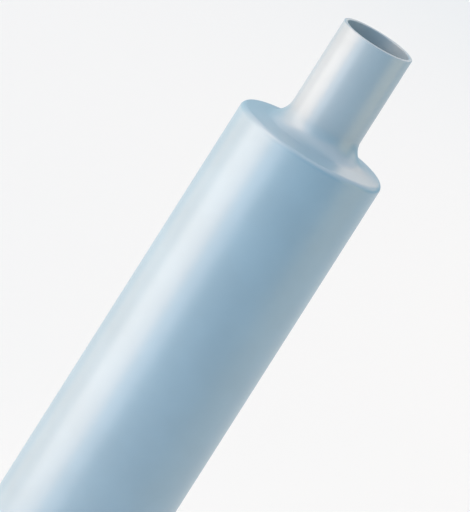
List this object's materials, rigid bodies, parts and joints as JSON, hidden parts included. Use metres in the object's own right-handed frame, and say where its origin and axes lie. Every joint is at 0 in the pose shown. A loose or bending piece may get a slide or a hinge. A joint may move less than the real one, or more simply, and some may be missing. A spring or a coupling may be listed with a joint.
{
  "type": "heat shrink tube",
  "caption": "Thin-walled plastic heat shrink sleeve, full bore along its body, with one end shrunk to a narrow neck over a sloping shoulder.",
  "frame": {"origin": "centre of the full-size cut end, on the plane that the tube stands on", "axes": "+Z along the tube's axis, from the full-size end to the shrunk neck; X and Y are any two directions square to it, because the tube is turned"},
  "size_m": [0.052, 0.052, 0.305],
  "materials": {
    "tube_plastic": "smooth, satin to softly shiny pale blue polyolefin"
  },
  "bodies": {
    "root": {"shrink_tube": "tube_plastic"}
  },
  "joints": []
}
